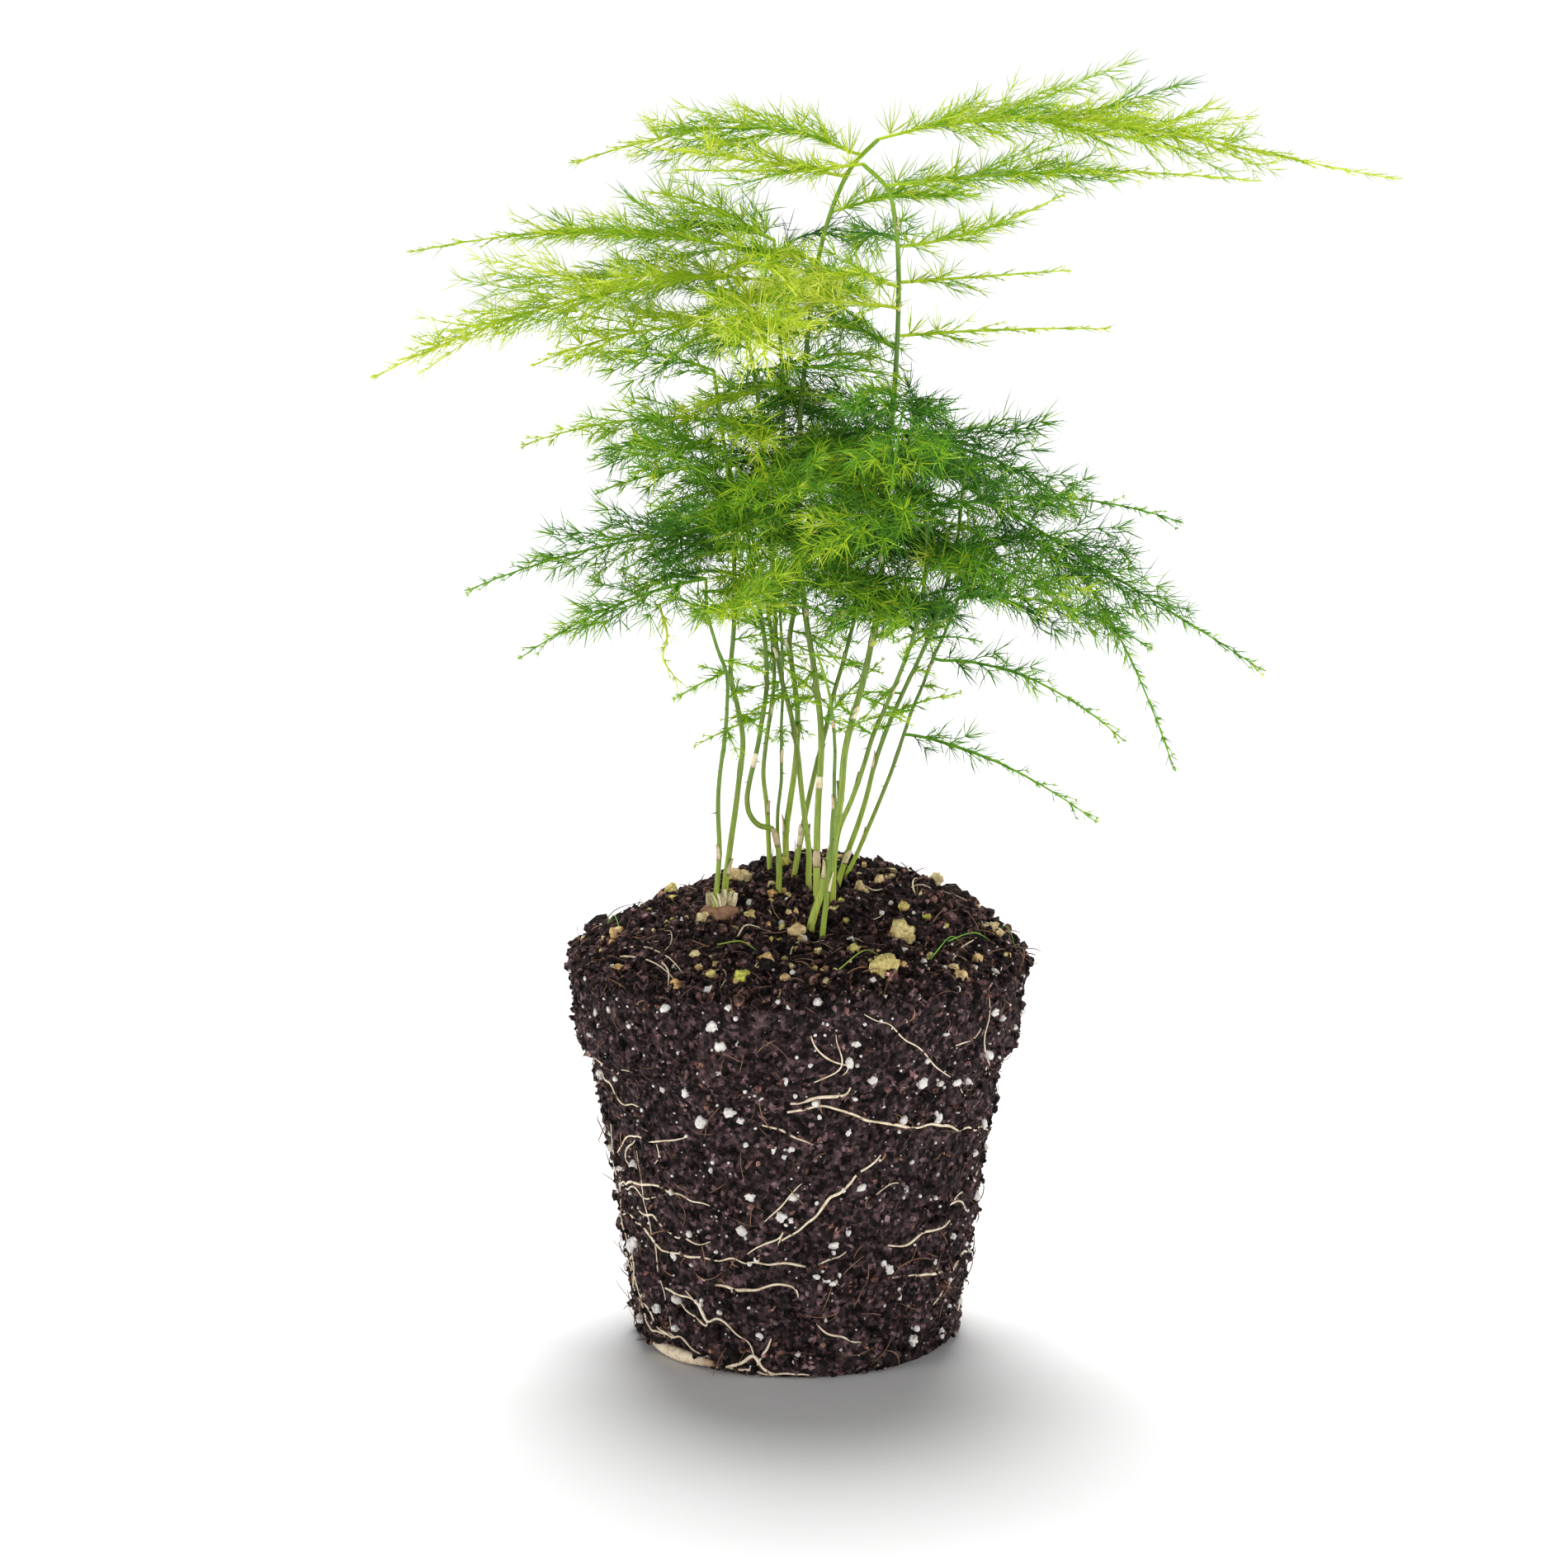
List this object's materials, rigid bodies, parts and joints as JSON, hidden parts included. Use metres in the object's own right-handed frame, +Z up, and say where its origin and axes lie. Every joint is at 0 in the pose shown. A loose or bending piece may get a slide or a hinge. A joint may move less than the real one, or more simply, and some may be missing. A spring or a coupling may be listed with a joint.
{
  "type": "asparagus fern with bare root ball",
  "caption": "Feathery asparagus fern out of its pot: wiry upright stems with flat lacy fronds growing from a moulded root ball of dark peat and perlite.",
  "frame": {"origin": "middle of the root ball's flat base, on the surface that it stands on", "axes": "+Z up along the root ball's own axis; +X to the right and +Y away from the viewer, seen from the side with the longest top frond reaching to the right"},
  "size_m": [0.2552, 0.146, 0.3169],
  "materials": {
    "growing_medium": "crumbly matte peat with perlite",
    "rootstock": "papery, dry",
    "root": "smooth, matte",
    "stem": "satin, waxy green",
    "young_foliage": "soft matte, yellow-green",
    "mature_foliage": "soft matte, deep green"
  },
  "bodies": {
    "root": {"root_ball": "growing_medium", "crown_left": "rootstock", "crown_centre": "rootstock", "crown_front": "rootstock", "crown_back": "rootstock", "thick_root": "root", "stem_a": "stem", "stem_b": "stem", "stem_c": "stem", "stem_d": "stem", "stem_e": "stem", "stem_f": "stem", "stem_g": "stem", "stem_h": "stem", "stem_i": "stem", "stem_j": "stem", "stem_k": "stem", "stem_l": "stem", "stem_m": "stem", "stem_n": "stem", "frond_i1": "young_foliage", "frond_i2": "young_foliage", "frond_i3": "young_foliage", "frond_i4": "young_foliage", "frond_j1": "young_foliage", "frond_j2": "young_foliage", "frond_j3": "young_foliage", "frond_j4": "young_foliage", "frond_j5": "young_foliage", "frond_j6": "young_foliage", "frond_f1": "young_foliage", "frond_f2": "young_foliage", "frond_f3": "young_foliage", "frond_f4": "young_foliage", "frond_h1": "young_foliage", "frond_h2": "young_foliage", "frond_h3": "young_foliage", "frond_b1": "mature_foliage", "frond_b2": "mature_foliage", "frond_b3": "mature_foliage", "frond_d1": "mature_foliage", "frond_d2": "mature_foliage", "frond_d3": "mature_foliage", "frond_c1": "mature_foliage", "frond_c2": "mature_foliage", "frond_a1": "mature_foliage", "frond_a2": "mature_foliage", "frond_g1": "mature_foliage", "frond_g2": "mature_foliage", "frond_g3": "mature_foliage", "frond_l1": "mature_foliage", "frond_l2": "mature_foliage", "frond_l3": "mature_foliage", "frond_m1": "mature_foliage", "frond_m2": "mature_foliage", "frond_m3": "mature_foliage", "frond_n1": "mature_foliage", "frond_n2": "mature_foliage", "frond_n3": "mature_foliage", "frond_n4": "mature_foliage"}
  },
  "joints": []
}
